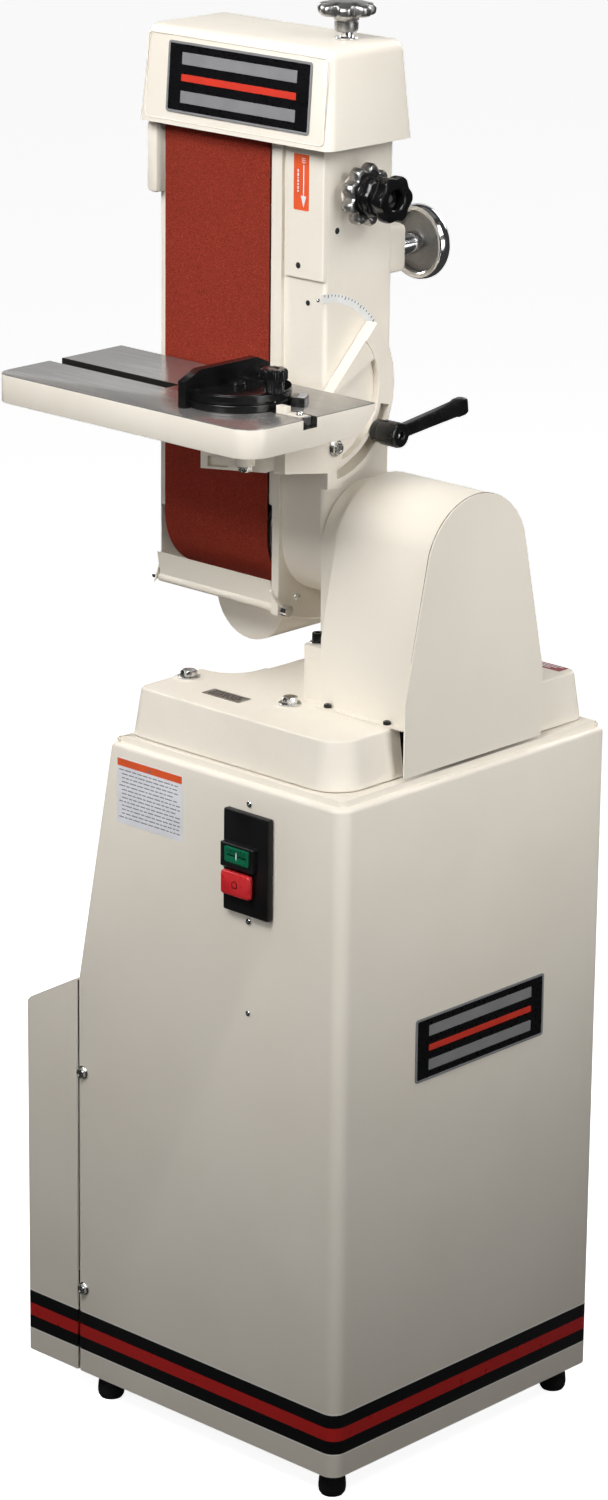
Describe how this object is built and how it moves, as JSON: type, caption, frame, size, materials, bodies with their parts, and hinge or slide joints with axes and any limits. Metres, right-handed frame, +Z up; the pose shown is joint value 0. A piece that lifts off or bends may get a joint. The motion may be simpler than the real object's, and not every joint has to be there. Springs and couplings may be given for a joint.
{
  "type": "belt sander",
  "caption": "Belt sander on a closed stand: an upright belt head that tilts back, a tilting table with a miter gauge, a guarded pulley drive and a push-button switch.",
  "frame": {"origin": "on the floor, under the middle of the machine's bounding box", "axes": "+Z up, -Y towards the operator, +X towards the pulley guard"},
  "size_m": [0.4722, 0.4644, 1.5647],
  "materials": {
    "cream_paint": "satin baked enamel",
    "black_plastic": "moulded, satin",
    "black_rubber": "matte",
    "chrome": "bright plated",
    "bright_steel": "turned and ground",
    "ground_iron": "ground top, painted edges",
    "cast_iron": "as cast",
    "aluminium": "cast, lightly polished",
    "abrasive": "grit on cloth",
    "green_button": "gloss",
    "red_button": "gloss",
    "motor_paint": "grey enamel",
    "badge_enamel": "gloss enamel plate"
  },
  "bodies": {
    "stand": {"cabinet": "cream_paint", "side_cover": "cream_paint", "foot_1": "black_rubber", "foot_2": "black_rubber", "foot_3": "black_rubber", "foot_4": "black_rubber", "cover_bolt_upper": "chrome", "cover_bolt_lower": "chrome", "switch_housing": "black_plastic", "switch_screw_upper": "chrome", "switch_screw_lower": "chrome", "side_badge": "badge_enamel", "motor": "motor_paint", "motor_mount": "motor_paint", "v_belt": "black_rubber", "base_casting": "cream_paint", "base_bolt_1": "chrome", "base_bolt_2": "chrome", "base_bolt_3": "chrome", "base_bolt_4": "chrome", "pedestal": "cream_paint", "pedestal_screw_front": "black_plastic", "pedestal_screw_back": "black_plastic", "pulley_guard": "cream_paint", "guard_screw_1": "black_plastic", "guard_screw_2": "black_plastic", "bearing_left": "bright_steel", "bearing_right": "bright_steel"},
    "start": {"start_button": "green_button"},
    "stop": {"stop_button": "red_button"},
    "motor_rotor": {"motor_shaft": "bright_steel", "motor_pulley": "cast_iron"},
    "drive": {"drive_shaft": "bright_steel", "drive_drum": "aluminium", "driven_pulley": "cast_iron"},
    "head": {"head_frame": "cream_paint", "platen": "ground_iron", "belt_cover": "cream_paint", "top_cover": "cream_paint", "head_badge": "badge_enamel", "abrasive_belt": "abrasive", "flap_pin": "bright_steel", "dust_port": "cream_paint", "tilt_stop_screw": "black_plastic"},
    "flap": {"dust_flap": "cream_paint"},
    "carriage": {"idler_carriage": "cast_iron", "idler_axle": "bright_steel"},
    "idler": {"idler_drum": "aluminium"},
    "tension": {"tension_knob": "aluminium"},
    "tracking": {"tracking_wheel": "aluminium"},
    "tracking_lock": {"lock_knob": "black_plastic"},
    "handwheel": {"rear_handwheel": "chrome"},
    "table_lock": {"lock_handle": "black_plastic"},
    "table": {"table": "ground_iron", "table_bracket": "cream_paint", "trunnion_bolt": "chrome", "bracket_bolt": "chrome"},
    "miter": {"miter_bar": "bright_steel"},
    "miter_gauge": {"miter_head": "black_plastic"},
    "miter_clamp": {"miter_knob": "black_plastic"}
  },
  "joints": [
    {"name": "start_press", "type": "slide", "parent": "stand", "child": "start", "axis": [0, 1, 0], "range_m": [0, 0.003], "stiffness_N_per_m": 300},
    {"name": "stop_press", "type": "slide", "parent": "stand", "child": "stop", "axis": [0, 1, 0], "range_m": [0, 0.003], "stiffness_N_per_m": 300},
    {"name": "drive_spin", "type": "hinge", "parent": "stand", "child": "drive", "pos_m": [-0.08535, 0.02565, 0.9969], "axis": [1, 0, 0], "continuous": true},
    {"name": "motor_spin", "type": "hinge", "parent": "stand", "child": "motor_rotor", "pos_m": [0.13465, 0.02565, 0.281], "axis": [1, 0, 0], "continuous": true},
    {"name": "head_tilt", "type": "hinge", "parent": "stand", "child": "head", "pos_m": [0.03465, 0.02565, 0.9969], "axis": [-1, 0, 0], "range_deg": [0, 90]},
    {"name": "flap_swing", "type": "hinge", "parent": "head", "child": "flap", "pos_m": [-0.08535, -0.03665, 0.92], "axis": [1, 0, 0], "range_deg": [0, 60]},
    {"name": "carriage_slide", "type": "slide", "parent": "head", "child": "carriage", "axis": [0, 0, -1], "range_m": [0, 0.015]},
    {"name": "idler_spin", "type": "hinge", "parent": "carriage", "child": "idler", "pos_m": [-0.08535, 0.00775, 1.41803], "axis": [1, 0, 0], "continuous": true},
    {"name": "tension_turn", "type": "hinge", "parent": "head", "child": "tension", "pos_m": [0.04765, 0.00775, 1.5245], "axis": [0, 0, 1], "range_deg": [0, 3600]},
    {"name": "tracking_turn", "type": "hinge", "parent": "head", "child": "tracking", "pos_m": [0.06665, 0.00235, 1.37], "axis": [1, 0, 0], "range_deg": [-360, 360]},
    {"name": "tracking_lock_turn", "type": "hinge", "parent": "head", "child": "tracking_lock", "pos_m": [0.08465, 0.00235, 1.37], "axis": [1, 0, 0], "range_deg": [0, 180]},
    {"name": "handwheel_turn", "type": "hinge", "parent": "head", "child": "handwheel", "pos_m": [0.04665, 0.06385, 1.299], "axis": [0, 1, 0], "continuous": true},
    {"name": "table_lock_turn", "type": "hinge", "parent": "head", "child": "table_lock", "pos_m": [0.08465, 0.02565, 1.1177], "axis": [1, 0, 0], "range_deg": [0, 90]},
    {"name": "table_tilt", "type": "hinge", "parent": "head", "child": "table", "pos_m": [0.03465, -0.04305, 1.165], "axis": [1, 0, 0], "range_deg": [-15, 45]},
    {"name": "miter_slide", "type": "slide", "parent": "table", "child": "miter", "axis": [1, 0, 0], "range_m": [-0.17, 0.07]},
    {"name": "miter_swing", "type": "hinge", "parent": "miter", "child": "miter_gauge", "pos_m": [0.04415, -0.14415, 1.181], "axis": [0, 0, 1], "range_deg": [-60, 60]},
    {"name": "miter_clamp_turn", "type": "hinge", "parent": "miter", "child": "miter_clamp", "pos_m": [0.09565, -0.14415, 1.191], "axis": [0, 0, 1], "range_deg": [0, 360]}
  ],
  "couplings": [
    {"joint": "motor_spin", "follows": "drive_spin", "ratio": 1.5278},
    {"joint": "idler_spin", "follows": "drive_spin", "ratio": 1.3524},
    {"joint": "tension_turn", "follows": "carriage_slide", "rad_per_m": 4188.8}
  ]
}
